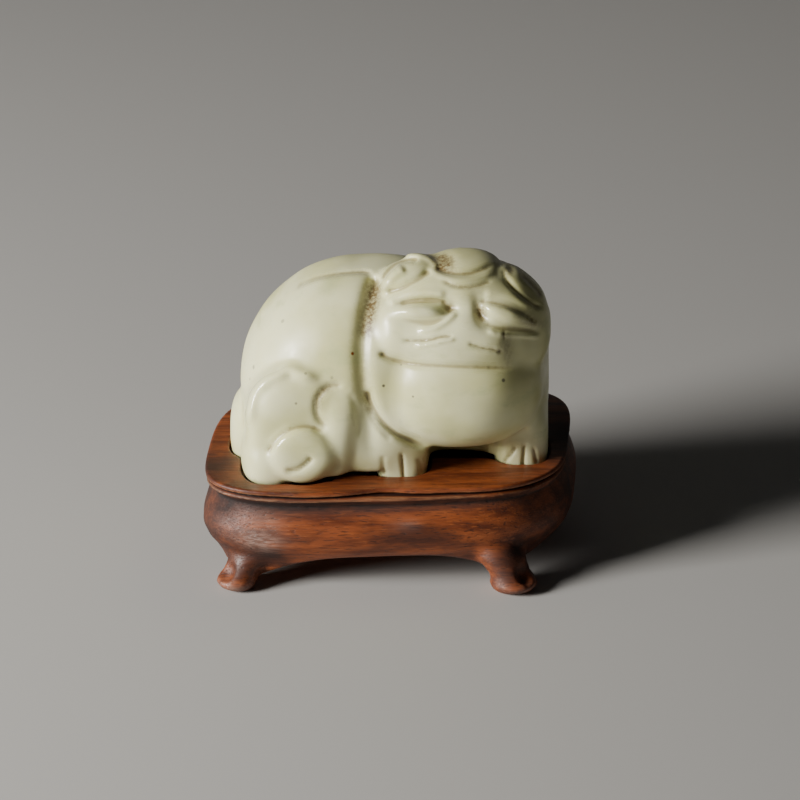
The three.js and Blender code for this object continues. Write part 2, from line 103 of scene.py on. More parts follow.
# The lion's forms in the order in which they join: middle, half sizes, squareness
# from the front, squareness in depth, and how softly the form joins the rest
BODY_FORMS = {
    "trunk": ((-6, 2.5, 36), (23.7, 20.3, 23.6), 1.95, 2.5, 0),
    "shoulders": ((13.8, 4.5, 36), (17.9, 19.1, 22.4), 3.0, 2.5, 3),
    "nape": ((0, 3, 46), (12, 15, 13.6), 2.2, 2.4, 2),
    "shoulder_near": ((-0.5, -3.6, 37), (6.5, 12, 15), 2.2, 2.4, 3),
    "thigh_near": ((-17.6, -3.7, 28.5), (10.9, 14.4, 16.2), 2.5, 6, 1.4),
    "thigh_far": ((-17.6, 9.2, 28.5), (10.9, 14, 16.2), 2.5, 3, 1.4),
    "lock_left": ((3.5, 13, 44.5), (5.6, 9.4, 11), 2.2, 2.2, 0.8),
    "lock_middle": ((14.2, 14, 46), (5.6, 9.6, 12), 2.2, 2.2, 0.8),
    "lock_right": ((24.6, 13, 41.5), (5.6, 9.4, 10), 2.2, 2.2, 0.8),
}
HEAD_FORMS = {
    "head": ((13.9, -4.8, 48.7), (17.7, 12.9, 9.9), 3.1, 2.6, 0.8, 24, 0),
    "cheek": ((2.8, -7.3, 49.9), (6.4, 9.3, 7), 2.6, 2.6, 1.5, 24, 0),
    "forehead": ((13.6, -7.2, 53), (13.4, 8, 7.4), 3, 3, 2, 24, 0),
    "crown": ((12, -4.2, 58), (11.8, 9.2, 5), 2.6, 2.4, 2, 0, 0),
    "boss": ((14.4, -3.4, 60.8), (7.6, 6.8, 3.6), 2.2, 2.2, 1, 0, 0),
    "ear_left": ((3.4, -4.4, 58.8), (6.4, 6.4, 4.1), 2.3, 2.3, 1.0, 0, -22),
    "ear_right": ((25, -4.8, 57), (6.6, 5.7, 3.5), 2.3, 2.3, 0.6, 0, 42),
}
LIMB_FORMS = {
    "chest": ((13.0, -6.4, 39), (17.2, 14.4, 13.1), 2.3, 2.15, 1.5, 0, 0),
    "tail": ((-26.5, 0.5, 25.5), (5.4, 7, 8.8), 2.6, 2.6, 0.8, 0, 0),
    "heel": ((-23.2, -9, 24.5), (6.2, 10, 6), 2.4, 2.6, 1.5, 0, 0),
    "hind_paw": ((-17.3, -11.5, 28), (7.5, 8.6, 7), 2, 4, 0.7, 0, 0),
    "hind_paw_far": ((-18.2, 15, 27.6), (7.2, 7.6, 7.2), 2, 3, 1, 0, 0),
    "knee": ((-10, -12.6, 32.6), (4.5, 6.4, 9.7), 2.2, 2.2, 1.2, 0, 5),
    "knee_far": ((-10.2, 16.5, 32.8), (3.9, 6.4, 9.9), 2.2, 2.2, 0.7, 0, 5),
    "forepaw_near": ((2.3, -8.2, 26), (5.2, 7.1, 12), 3.2, 3, 1.2, 0, 0),
    "foreleg_near": ((0.8, -7.2, 36), (5, 8.6, 14), 2.4, 2.4, 2.5, 0, 0),
    "forepaw_far": ((26.0, -1.6, 25), (5.5, 8.0, 8.4), 3.2, 3, 1, 0, 0),
    "rear_base": ((14, 12, 27), (15.5, 9.5, 9), 3, 3, 2, 0, 0),
}
FORELEG_GAPS = [
    ((14.1, -16, 20.6), (6.7, 11, 9.5), 4, 4, 0, -5),
    ((22.5, -17, 21.5), (9, 10, 9), 4, 4, 0, -24),
]

# Carved lines on a plane that leans back by FRONT_TILT, across it and up it in mm:
# the way they run, half width, height (below nought is cut in), and brown stain
FRONT_LINES = {
    "lid_left": ([(1.6, 46.9), (3.8, 47.6), (6.7, 47.9), (8.5, 48), (10.1, 47.8), (11.2, 47)], 0.5, -0.4, 0.22),
    "brow_left": ([(-0.8, 47.4), (1.4, 48.4), (4, 49), (8, 49.2), (11.2, 48.7)], 0.9, 0.6, 0),
    "brow_right": ([(17.9, 48.9), (21.4, 48.7), (24.9, 47.9), (28, 46)], 1.1, 0.4, 0),
    "lid_right": ([(17.3, 47.7), (18.8, 47.5), (22.7, 46.6), (26.6, 44.9), (28.3, 43.6)], 0.45, -0.35, 0.3),
    "under_right": ([(18.1, 43.5), (19.8, 42.8), (21.7, 42.4), (25.2, 42.3), (29.7, 41.9)], 0.6, -0.3, 0.12),
    "ledge_right": ([(18.6, 42.2), (20.6, 41.5), (22.9, 41.2), (26, 41.1), (29.6, 40.9)], 0.5, 0.4, 0),
    "nose_flare": ([(12.8, 45.9), (11.6, 44.4), (9.8, 43.1), (8, 42.3), (5, 42)], 0.6, 0.65, 0),
    "muzzle_edge": ([(21.7, 42.1), (21.4, 40.7), (21.1, 39.2), (20.7, 36.9)], 0.9, 0.1, 0),
    "mouth_left": ([(1.8, 40.1), (5.5, 40.1), (8.2, 40.3), (10.1, 40.8), (12.5, 40.9)], 0.35, -0.4, 0.3),
    "mouth_lip": ([(4.6, 39), (6.8, 39.2), (8.6, 39.6), (10.8, 40.1), (12.8, 40.4)], 0.4, 0.4, 0),
    "mouth_right": ([(14.9, 39.5), (16.3, 39.1), (17.5, 38.7), (19.4, 38.4), (21.2, 38.1)], 0.32, -0.35, 0.4),
    "jaw": ([(-1.9, 38.2), (-1.2, 37.3), (0.8, 36.4), (4.8, 35.6), (10.1, 35.2), (18.1, 34.9), (26, 34.8)], 0.6, -0.5, 0.15),
    "crescent": ([(9.9, 52.1), (12.2, 50.7), (14.9, 50.4), (17.5, 50.8), (19.9, 51.8)], 0.35, -0.25, 0.6),
    "boss_edge": ([(8.6, 54.9), (10.3, 53.7), (12.2, 53.2), (14.9, 53.1), (17.5, 53.8), (20.8, 55.2)], 0.45, -0.35, 0.5),
    "boss_band": ([(7.2, 54.6), (9.5, 52.9), (12.2, 52), (14.9, 51.9), (17.5, 52.4), (21, 53.6)], 0.6, 0.3, 0),
    "ear_curl": ([(-1.6, 51.8), (-0.8, 53.4), (1.4, 55.5), (4.2, 56.1), (5.6, 55.6)], 0.6, -0.5, 0.25),
    "ear_lobe": ([(-2.2, 50), (-0.6, 51.6), (0.8, 53), (3, 54.6)], 1.0, 0.8, 0),
    "ear_rim": ([(2.5, 57.4), (5.2, 57.2), (7.8, 56.2), (9.4, 53.9)], 0.7, 0.5, 0),
    "ear_under": ([(-1.4, 49.6), (1.9, 50.2), (4.3, 51.3), (6.2, 52.4), (8.2, 54.2)], 0.7, -0.7, 0.1),
    "ear_right_low": ([(21.9, 54.6), (22.4, 52.6), (23.8, 50.4), (25.6, 48.7), (27.8, 47.2), (30, 46.4)], 0.5, -0.45, 0.25),
    "ear_right_in": ([(25.4, 53.2), (27, 51.6), (28.6, 50), (29.6, 48.6)], 0.4, -0.25, 0.5),
    "haunch_ridge": (
        [(-27.8, 22.5), (-27.4, 26.7), (-26.6, 30), (-24.3, 32.4), (-21.7, 33.8), (-19.4, 34.7), (-16.6, 33.6), (-13, 32.7)],
        1.3,
        1.1,
        0,
    ),
    "crust": ([(-2.9, 52.2), (-3.4, 48.3), (-4.2, 44.4), (-4.9, 39.6)], 1.35, 0, 1.2),
    "crust_low": ([(-4.6, 41), (-5.2, 36), (-5, 31), (-4.4, 25)], 1.0, 0, 0.35),
    "knee_stain": ([(-14.2, 26.6), (-13.4, 30), (-11.2, 31.4)], 0.7, 0, 0.5),
    "spine": ([(-18.3, 50.5), (-16.9, 52), (-14.6, 52.8), (-11.8, 53.3), (-8.5, 53.7), (-5.1, 53.8), (-2.8, 53.2)], 0.45, -0.5, 0.55),
    "valley": ([(-2.3, 53.3), (-2.9, 51.8), (-3.4, 50.3), (-4.4, 46.9), (-5, 43.6), (-5.5, 38.2), (-5.3, 32.8), (-4.7, 26.1), (-3.3, 14.7)], 1.6, -1.2, 0.0),
    "knee": ([(-11.8, 22.7), (-13.9, 25.2), (-14.3, 28.1), (-13.2, 30.3), (-11.3, 31.5), (-8.8, 31.4)], 0.7, -0.5, 0.3),
    "knee_right": ([(-8, 30.2), (-6.8, 27.9), (-6.2, 24.8), (-5.8, 20.9)], 0.7, -0.2, 0.0),
    "paw_edge": ([(-24, 17.8), (-22.8, 20), (-21, 21.9), (-18.4, 23.2), (-15.4, 23.4), (-12.6, 22.2)], 0.6, -0.6, 0.15),
    "paw_curl": ([(-15.3, 17.8), (-15.7, 16.8), (-16.7, 15.9), (-18.1, 15.1), (-20.9, 14.8)], 0.6, -0.55, 0.2),
    "chest_cut": ([(-4.5, 31), (-4.1, 29.2), (-3.1, 26.9), (-1.6, 24.6), (0.4, 22.8), (2.7, 21.4), (8, 19.2)], 0.8, -1.0, 0.3),
    "chest_fold": ([(-4.4, 27.8), (-3.4, 25), (-1.6, 22.6), (0.6, 20.9)], 0.5, -0.3, 0.2),
    "toe_a": ([(2.2, 18.6), (2.4, 16.6), (2.6, 14.7), (2.8, 12.6)], 0.35, -0.35, 0.2),
    "toe_b": ([(-1.4, 18), (-1.3, 15.8), (-1, 13.9)], 0.5, -0.2, 0.0),
    "toe_c": ([(5.4, 17.4), (6, 15.8), (6.2, 14.1)], 0.4, -0.15, 0.0),
    "toe_d": ([(25, 19.7), (24.3, 18.4), (23.3, 17.2), (22.3, 16.1)], 0.4, -0.45, 0.2),
    "toe_e": ([(26.6, 20.1), (26.5, 18.4), (26.4, 16.6), (26.4, 15.1)], 0.4, -0.45, 0.2),
    "toe_f": ([(28.3, 19.5), (28.7, 17.8), (29.1, 16)], 0.4, -0.3, 0.1),
}

# Carved lines on the back, in the same terms, on an upright plane
BACK_LINES = {
    "paw_edge": ([(-25, 24.5), (-24, 29.8), (-20, 33.4), (-15.2, 32.8), (-12, 29)], 0.7, -0.5, 0.15),
    "paw_curl": ([(-15.4, 28.4), (-16.2, 26.2), (-18.4, 24.8), (-21, 25)], 0.6, -0.5, 0.2),
    "knee": ([(-7, 24), (-5.9, 29), (-6.2, 34), (-8, 38.8)], 0.7, -0.4, 0.1),
    "strand_left": ([(2.2, 54), (2.4, 49), (3.4, 43.5), (3.2, 38)], 0.7, -0.4, 0.1),
    "strand_middle": ([(13, 56), (13.6, 50), (14.6, 44), (14, 38.5)], 0.7, -0.4, 0.1),
    "strand_right": ([(24, 50), (25, 45), (25.4, 40), (24.4, 35)], 0.7, -0.4, 0.1),
}

# Soft round patches on the leaning plane: middle, half sizes, turn in degrees, how
# flat the patch is, height, and brown stain or painted shade
FRONT_SPOTS = {
    "socket_left": ((8, 46), (7, 2.8), -4, 3, -1.3, 0),
    "socket_right": ((20.5, 45.6), (8.2, 3), -12, 3, -0.9, 0),
    "bulb_left": ((5.9, 45.7), (4.5, 1.6), -3, 3, 2.5, 0),
    "bulb_right": ((22.2, 45.4), (4.8, 1.7), -16, 3, 1.8, 0),
    "cheek_right": ((26, 39.2), (4.6, 3.6), 0, 3, -1.1, 0),
    "corner_left": ((11.5, 46.3), (1.2, 1.1), 0, 2, -0.9, 0.8),
    "corner_right": ((17.5, 45.5), (1.1, 2.3), 16, 2, -1.2, 1.0),
    "nose_bridge": ((14.2, 46.1), (2.6, 4.5), 0, 2, 0.5, 0),
    "muzzle": ((13.4, 39.5), (8.6, 4.6), 0, 4, 1.0, 0),
    "crown_hollow": ((10.4, 55.6), (2.4, 2), -20, 3, -0.6, 1.2),
    "ear_hollow": ((23.4, 54), (1.0, 1.3), 30, 2, -0.5, 0.8),
    "mouth_end": ((21.2, 38), (0.5, 0.35), 0, 2, -0.4, 1.0),
    "muzzle_tick": ((22, 41.2), (0.25, 0.8), 0, 2, -0.2, 0.9),
    # Painted shade: an olive-brown band where the muzzle's right side turns away from the light.
    "muzzle_side_painted_shade": ((22.8, 38.3), (1.0, 3.4), 0, 2, 0, 0.45),
    "eye_end": ((27.6, 43.6), (2.2, 0.9), -10, 2, 0, 0.6),
    "jaw_pocket": ((-1.2, 37.6), (1.2, 0.6), -30, 2, -0.1, 0.3),
}
# Coloured grains in the stone, on the same plane: across, up, radius and strength
GRAINS = {
    "rust": [(-7.1, 37.7, 0.45, 1.0)],
    "dark": [
        (-1.4, 31.5, 0.4, 0.9),
        (21.9, 32.6, 0.5, 0.8),
        (4.5, 29.4, 0.3, 0.7),
        (-20.8, 44.1, 0.6, 0.4),
        (-26.7, 35.2, 0.6, 0.5),
        (-27.5, 32.8, 0.4, 0.4),
        (-16.4, 33.7, 0.4, 0.5),
        (-11.2, 33, 0.4, 0.4),
        (-18.3, 27.8, 0.35, 0.6),
        (2.2, 35.4, 0.3, 0.5),
    ],
}
GRAIN_COLOURS = {"rust": "8c4a10", "dark": "4a4438"}

MAP_STEP = 0.1
MAP_ACROSS = np.arange(-34, 35, MAP_STEP)
MAP_UP = np.arange(8, 66, MAP_STEP)


def smooth_curve(points, steps=10):
    """Points along a Catmull-Rom curve through the given points."""
    way = np.array(points, float)
    way = np.vstack([2 * way[0] - way[1], way, 2 * way[-1] - way[-2]])
    a, b, c, d = (way[n : len(way) - 3 + n, None] for n in range(4))
    t = (np.arange(steps) / steps)[None, :, None]
    parts = b + 0.5 * t * (c - a + t * (2 * a - 5 * b + 4 * c - d + t * (3 * (b - c) + d - a)))
    return np.vstack([parts.reshape(-1, 2), way[-2]])


def map_part(low, high):
    """Slices of the leaning plane's map that hold a region."""
    first = np.searchsorted(MAP_ACROSS, low[0]), np.searchsorted(MAP_UP, low[1])
    last = np.searchsorted(MAP_ACROSS, high[0]), np.searchsorted(MAP_UP, high[1])
    return slice(first[0], last[0]), slice(first[1], last[1])


def carving_maps(lines, spots):
    """Heights of the carving on a plane, and its brown stains with some painted shade.

    A line adds height * exp(-(distance / half width)^2), fading out towards its two ends.
    A patch adds height * exp(-r^flat), where r is 1 on its ellipse.
    """
    heights = np.zeros((MAP_ACROSS.size, MAP_UP.size))
    stains_and_shade = np.zeros_like(heights)
    for way, width, height, stain_and_shade in lines.values():
        line = smooth_curve(way)
        margin = 3 * width + 1.5
        part = map_part(line.min(axis=0) - margin, line.max(axis=0) + margin)
        across, up = np.meshgrid(MAP_ACROSS[part[0]], MAP_UP[part[1]], indexing="ij")
        nearest = np.full(across.shape, 1e3)
        along = np.zeros(across.shape)
        for n, (start, step) in enumerate(zip(line[:-1], np.diff(line, axis=0))):
            dx = across - start[0]
            dy = up - start[1]
            t = np.clip((dx * step[0] + dy * step[1]) / (step @ step), 0, 1)
            away = np.hypot(dx - t * step[0], dy - t * step[1])
            along = np.where(away < nearest, (n + t) / (len(line) - 1), along)
            nearest = np.minimum(away, nearest)
        fade = smooth_step(np.minimum(along, 1 - along), 0, 0.14)
        heights[part] += height * fade * np.exp(-((nearest / width) ** 2))
        stains_and_shade[part] += stain_and_shade * fade * np.exp(-((nearest / (width + 0.15)) ** 2))
    across, up = np.meshgrid(MAP_ACROSS, MAP_UP, indexing="ij")
    for at, half, turn, flat, height, stain_and_shade in spots.values():
        along, off = turned(across - at[0], up - at[1], -turn)
        patch = np.exp(-(np.hypot(along / half[0], off / half[1]) ** flat))
        heights += height * patch
        stains_and_shade += stain_and_shade * patch
    return heights, np.clip(stains_and_shade, 0, 1)


FRONT_HEIGHTS, FRONT_STAINS_AND_SHADE = carving_maps(FRONT_LINES, FRONT_SPOTS)
BACK_HEIGHTS, BACK_STAINS = carving_maps(BACK_LINES, {})


def read_map(values, across, up):
    """Value of a plane's map at each place on it, between the map's points in proportion."""
    i = np.clip((across - MAP_ACROSS[0]) / MAP_STEP, 0, MAP_ACROSS.size - 1.001)
    j = np.clip((up - MAP_UP[0]) / MAP_STEP, 0, MAP_UP.size - 1.001)
    i0 = i.astype(int)
    j0 = j.astype(int)
    s = i - i0
    t = j - j0
    lower = values[i0, j0] * (1 - s) + values[i0 + 1, j0] * s
    upper = values[i0, j0 + 1] * (1 - s) + values[i0 + 1, j0 + 1] * s
    return lower * (1 - t) + upper * t


def carving_at(front_map, back_map, x, y, z):
    """The front's map on the side that the lion faces, the back's map behind it, and a soft change between."""
    up = z * math.cos(FRONT_TILT) + y * math.sin(FRONT_TILT)
    return smooth_step(-y, -4, 3) * read_map(front_map, x, up) + smooth_step(y, 4, 9) * read_map(back_map, x, z)


def lion_field(x, y, z):
    """The lion as one distance: all its forms joined, the carving added, cut flat at its base."""
    distance = np.full(np.shape(x), 1e3)
    for at, half, square, deep, soft in BODY_FORMS.values():
        distance = soft_join(distance, rounded_block(x, y, z, at, half, square, deep), soft)
    for at, half, square, deep, soft, lean, roll in HEAD_FORMS.values():
        distance = soft_join(distance, rounded_block(x, y, z, at, half, square, deep, lean, roll), soft)
    distance = soft_keep(distance, BELLY_HEIGHT - z, 1.5)
    for gap in FORELEG_GAPS:
        distance = soft_keep(distance, -rounded_block(x, y, z, *gap), 1.0)
    for at, half, square, deep, soft, lean, roll in LIMB_FORMS.values():
        distance = soft_join(distance, rounded_block(x, y, z, at, half, square, deep, lean, roll), soft)
    near = smooth_step(4 - np.abs(distance), 0, 2)
    distance = distance - near * carving_at(FRONT_HEIGHTS, BACK_HEIGHTS, x, y, z)
    distance = distance + 0.07 * np.sin(0.5 * x + 0.21 * z + 1) * np.sin(0.43 * z - 0.27 * y) * near
    return soft_keep(distance, LION_BASE - z, 0.3)


# The stand's side from the rim down: height and how far out of the rim's outline
RIM_HALF = (36.1, 25.9)
RIM_SQUARENESS = 3.76
RIM_SHEAR = 0.145
RIM_TURN = 3
APRON_HEIGHT = 7.3
CEILING_HEIGHT = 15.0
INNER_INSET = 5.2
FOOT_DROP = 7.9
FOOT_CURVE = 2.3
BULGE_SHIFT = 0.5
SIDE_PROFILE = [
    (-1.0, -3.0),
    (3.0, -3.0),
    (5.0, -2.4),
    (7.5, -1.0),
    (9.0, 0.1),
    (11.0, 0.9),
    (13.0, 0.8),
    (15.0, 0.2),
    (17.0, -0.7),
    (18.6, -1.3),
    (19.6, -0.5),
    (20.0, -0.1),
    (20.4, -0.4),
    (20.8, -1.2),
    (21.1, 0.0),
    (23.0, 0.0),
]
# The four feet: middle of the toe, its size, and how far the apron sweeps down to it
FEET = [
    (-30.2, -20.0, 1.0, 24.0),
    (24.2, -20.9, 1.2, 18.0),
    (30.2, 26.0, 1.0, 24.0),
    (-24.2, 26.9, 1.2, 18.0),
]
# A foot from the top down: height, slide outwards and radius
FOOT_RINGS = [
    (9.5, -5.6, 4.2),
    (7.0, -3.8, 4.2),
    (5.0, -2.2, 3.7),
    (3.6, -0.9, 3.4),
    (2.4, 0.1, 3.7),
    (1.6, 0.2, 3.9),
    (0.8, 0.0, 3.5),
    (0.0, -0.6, 2.6),
]
# A round dish above each toe, cut in from outside
DISH_REACH = 3.4
DISH_HEIGHT = 4.8
DISH_RADIUS = 2.5
# Where the rim's plate is worn back at the front: middle across, half width and depth
WEAR = [(-1.0, 6.5, 1.7), (11.0, 6.0, 0.6), (-22.0, 3.0, 0.3)]

# The part of the sunk seat that lies open under the chest, between the forelegs
SEAT_UNDER_CHEST = ((14.5, 3, 0), (9, 9.2, 5), 2.5, 2.5)

SEAT_STEP = 0.25
SEAT_ACROSS = np.arange(-38, 38, SEAT_STEP)
SEAT_DEEP = np.arange(-26, 34, SEAT_STEP)


def seat_map():
    """Distance in the ground plane to the lion's foot outline, the least over the seat's depth."""
    x, y = np.meshgrid(SEAT_ACROSS, SEAT_DEEP, indexing="ij")
    levels = (LION_BASE + 0.2, STAND_HEIGHT - 0.8, STAND_HEIGHT + 0.1)
    foot = np.minimum.reduce([lion_field(x, y, np.full_like(x, z)) for z in levels])
    return soft_join(foot, rounded_block(x, y, np.zeros_like(x), *SEAT_UNDER_CHEST), 1.5)


SEAT = seat_map()


def read_seat(x, y):
    """Distance to the lion's foot outline at each point, between the map's points in proportion."""
    i = np.clip((x - SEAT_ACROSS[0]) / SEAT_STEP, 0, SEAT_ACROSS.size - 1.001)
    j = np.clip((y - SEAT_DEEP[0]) / SEAT_STEP, 0, SEAT_DEEP.size - 1.001)
    i0 = i.astype(int)
    j0 = j.astype(int)
    s = i - i0
    t = j - j0
    lower = SEAT[i0, j0] * (1 - s) + SEAT[i0 + 1, j0] * s
    upper = SEAT[i0, j0 + 1] * (1 - s) + SEAT[i0 + 1, j0 + 1] * s
    return lower * (1 - t) + upper * t


def rim_distance(x, y):
    """Distance in the ground plane to the rim's outline, a rounded rectangle that is sheared and turned."""
    dx, dy = turned(x, y - STAND_SHIFT, -RIM_TURN)
    dx = dx - RIM_SHEAR * dy
    reach = (np.abs(dx / RIM_HALF[0]) ** RIM_SQUARENESS + np.abs(dy / RIM_HALF[1]) ** RIM_SQUARENESS) ** (
        1 / RIM_SQUARENESS
    )
    return np.hypot(dx, dy) * (reach - 1) / np.maximum(reach, 1e-3)


def foot_field(x, y, z, toe_x, toe_y, size):
    """One foot: round sections whose middle slides outwards and whose radius swells towards the toe."""
    away = np.array([toe_x, toe_y - STAND_SHIFT])
    away = away / np.hypot(*away)
    rings = np.array(FOOT_RINGS[::-1])
    slide = np.interp(z, rings[:, 0], rings[:, 1])
    radius = size * np.interp(z, rings[:, 0], rings[:, 2])
    out = np.hypot(x - toe_x - away[0] * slide, y - toe_y - away[1] * slide) - radius
    dish = np.sqrt(
        (x - toe_x - away[0] * DISH_REACH * size) ** 2
        + (y - toe_y - away[1] * DISH_REACH * size) ** 2
        + (z - DISH_HEIGHT) ** 2
    )
    out = soft_keep(out, DISH_RADIUS - dish, 0.5)
    return soft_keep(out, z - 9.5, 1.0)


def stand_field(x, y, z):
    """The stand as one distance: a moulded side, hollow underneath, with four feet and a sunk seat."""
    out = rim_distance(x - BULGE_SHIFT * smooth_step(21 - z, 0, 4), y)
    out = out + 0.12 * np.sin(0.31 * x + 0.9) * np.sin(0.23 * y + 0.16 * z)
    worn = sum(depth * np.exp(-(((x - middle) / half) ** 2)) for middle, half, depth in WEAR)
    out = out + worn * smooth_step(-y, 6, 14) * smooth_step(z, 20.5, 20.9)
    heights, offsets = np.array(SIDE_PROFILE).T
    body = soft_keep(out - np.interp(z, heights, offsets), z - STAND_HEIGHT, 0.5)
    shares = [np.hypot(x - toe_x, y - toe_y) / sweep for toe_x, toe_y, _, sweep in FEET]
    near_toe = 1 - np.minimum(np.minimum.reduce(shares), 1)
    body = soft_keep(body, APRON_HEIGHT - FOOT_DROP * near_toe**FOOT_CURVE - z, 1.0)
    hollow = soft_keep(out + INNER_INSET, z - CEILING_HEIGHT, 2.0)
    body = soft_keep(body, -hollow, 0.8)
    for toe_x, toe_y, size, _ in FEET:
        body = soft_join(body, foot_field(x, y, z, toe_x, toe_y, size), 1.6)
    seat = np.maximum(read_seat(x, y) - 0.5, STAND_HEIGHT - SEAT_DEPTH - z)
    body = soft_keep(body, -seat, 0.35)
    return soft_keep(body, -z, 0.3)


def grid_planes(start, end, stretches):
    """Grid planes from start to end; each stretch is (upper end, step)."""
    planes = [start]
    for upper, step in stretches:
        while planes[-1] < min(upper, end):
            planes.append(planes[-1] + step)
    return np.array(planes)


def skin_of(field, planes, passes=3, probe=0.03):
    """Closed skin of a field, as points and four-sided faces.

    One point stands in each grid cell that the surface crosses, at the mean of the crossings of
    the cell's edges. It then slides down the field's slope onto the surface, inside its cell.
    One face stands across each grid edge that the surface crosses.
    """
    size = [len(p) for p in planes]
    cells = [n - 1 for n in size]
    values = field(*np.meshgrid(*planes, indexing="ij"))
    inside = values < 0
    sums = np.zeros((4, math.prod(cells)))
    crossings = []
    for axis in range(3):
        low = tuple(slice(0, n - (m == axis)) for m, n in enumerate(size))
        high = tuple(slice(int(m == axis), n) for m, n in enumerate(size))
        edges = np.argwhere(inside[low] != inside[high])
        a = values[low][tuple(edges.T)]
        b = values[high][tuple(edges.T)]
        place = np.stack([planes[m][edges[:, m]] for m in range(3)], axis=1)
        length = planes[axis][edges[:, axis] + 1] - planes[axis][edges[:, axis]]
        place[:, axis] += length * a / (a - b)
        u, v = (axis + 1) % 3, (axis + 2) % 3
        around = []
        for du, dv in ((1, 1), (0, 1), (0, 0), (1, 0)):
            cell = edges.copy()
            cell[:, u] -= du
            cell[:, v] -= dv
            flat = np.ravel_multi_index(tuple(cell.T), cells)
            around.append(flat)
            for m in range(3):
                sums[m] += np.bincount(flat, place[:, m], sums.shape[1])
            sums[3] += np.bincount(flat, minlength=sums.shape[1])
        quads = np.stack(around, axis=1)
        from_inside = inside[low][tuple(edges.T)]
        quads[~from_inside] = quads[~from_inside][:, ::-1]
        crossings.append(quads)
    used = np.flatnonzero(sums[3])
    number = np.full(sums.shape[1], -1)
    number[used] = np.arange(used.size)
    points = (sums[:3, used] / sums[3, used]).T
    corner = np.stack(np.unravel_index(used, cells), axis=1)
    lowest = np.stack([planes[m][corner[:, m]] for m in range(3)], axis=1)
    highest = np.stack([planes[m][corner[:, m] + 1] for m in range(3)], axis=1)
    for _ in range(passes):
        value = field(*points.T)
        slope = np.empty_like(points)
        for m in range(3):
            step = np.zeros(3)
            step[m] = probe
            slope[:, m] = (field(*(points + step).T) - field(*(points - step).T)) / (2 * probe)
        points -= slope * (value / np.maximum((slope**2).sum(axis=1), 0.05))[:, None]
        points = np.clip(points, lowest, highest)
    return points, number[np.vstack(crossings)]


def hollowness(field, points, reach):
    """How hollow the surface is round each point, and below nought how sharp: the mean of the field
    at eight corners round the point, over the reach, with the sign turned round."""
    corners = np.array([(i, j, k) for i in (-1, 1) for j in (-1, 1) for k in (-1, 1)]) * reach / math.sqrt(3)
    mean = sum(field(*(points + corner).T) for corner in corners) / len(corners)
    return (field(*points.T) - mean) / reach


def make_piece(name, points, faces, attributes):
    """A smooth mesh object in metres, with one float attribute for each named array."""
    mesh = bpy.data.meshes.new(name)
    corners = faces.size
    mesh.vertices.add(len(points))
    mesh.vertices.foreach_set("co", ((points - (0, STAND_SHIFT, 0)) * MM).astype(np.float32).ravel())
    mesh.loops.add(corners)
    mesh.loops.foreach_set("vertex_index", faces.astype(np.int32).ravel())
    mesh.polygons.add(len(faces))
    mesh.polygons.foreach_set("loop_start", np.arange(0, corners, 4, dtype=np.int32))
    mesh.update(calc_edges=True)
    mesh.validate()
    mesh.polygons.foreach_set("use_smooth", np.ones(len(mesh.polygons), bool))
    for key, values in attributes.items():
        mesh.attributes.new(key, "FLOAT", "POINT").data.foreach_set("value", values.astype(np.float32))
    piece = bpy.data.objects.new(name, mesh)
    bpy.context.collection.objects.link(piece)
    return piece


def make_lion():
    """The carved lion, finest on its face."""
    planes = [
        grid_planes(-34, 34.5, [(-6, 0.5), (33, 0.38), (35, 0.5)]),
        grid_planes(-23, 27, [(-2, 0.4), (27, 0.65)]),
        grid_planes(19.4, 65, [(40, 0.5), (62, 0.38), (65, 0.5)]),
    ]
    points, faces = skin_of(lion_field, planes)
    hollow = hollowness(lion_field, points, 0.9)
    # Brown stains of the carving, with painted shade beside the muzzle.
    stain_and_shade = carving_at(FRONT_STAINS_AND_SHADE, BACK_STAINS, *points.T)
    return make_piece("jade_lion", points, faces, {"hollow": hollow, "stain_and_shade": stain_and_shade})


# Dark patches on the wood, the two along the waist being painted shade under the rim, and painted greyish highlights:
# middle, half sizes and strength
WOOD_DARK_PATCHES = [
    ((-38, -8, 15), (6, 20, 7), 0.95),
    ((-33, -19, 17), (4, 5, 1.8), 0.8),
    ((-36, -12, 9), (4, 10, 2.5), 0.6),
    ((-31.5, -24, 4.4), (2.8, 3, 1.1), 1.0),
    ((26.5, -25, 4.4), (2.8, 3, 1.1), 1.0),
    # Painted shade: these two darken the cove under the rim, along the waist.
    ((0, -22, 18.9), (38, 8, 1.3), 1.2),
    ((-15, -24, 18.5), (14, 4, 1.6), 0.6),
    ((38, -6, 15), (6, 18, 9), 0.7),
    ((33, -21, 17), (8, 7, 3), 0.5),
    ((-24, -24, 8.2), (4, 5, 1.6), 0.8),
    ((26, -22, 8.0), (6, 6, 2.2), 0.8),
    ((22, -23, 4), (2, 4, 2.5), 0.6),
    ((3.5, -25, 14.6), (2.0, 3, 1.0), 0.6),
    ((34, 8, 21), (6, 14, 4), 0.9),
    ((-34, -10, 21.8), (4, 5, 2), 0.4),
]
# Painted highlights: a greyish sheen on the bulge and on the toes.
WOOD_PAINTED_HIGHLIGHTS = [
    ((-25.5, -25, 11.6), (4.2, 6, 2.0), 0.45),
    ((-24, -25, 15.5), (3, 6, 1.2), 0.2),
    ((3.0, -25, 15), (2.6, 4, 1.2), 0.2),
    ((-31, -23, 1.4), (4, 4, 1.0), 0.3),
    ((26, -24.5, 1.4), (4, 4, 1.0), 0.2),
]


def patches_at(points, patches):
    """Sum of soft round patches at each point, at most 1: strength * exp(-r^2), r being 1 on the ellipsoid."""
    total = np.zeros(len(points))
    for middle, half, strength in patches:
        total += strength * np.exp(-(((points - middle) / half) ** 2).sum(axis=1))
    return np.minimum(total, 1)


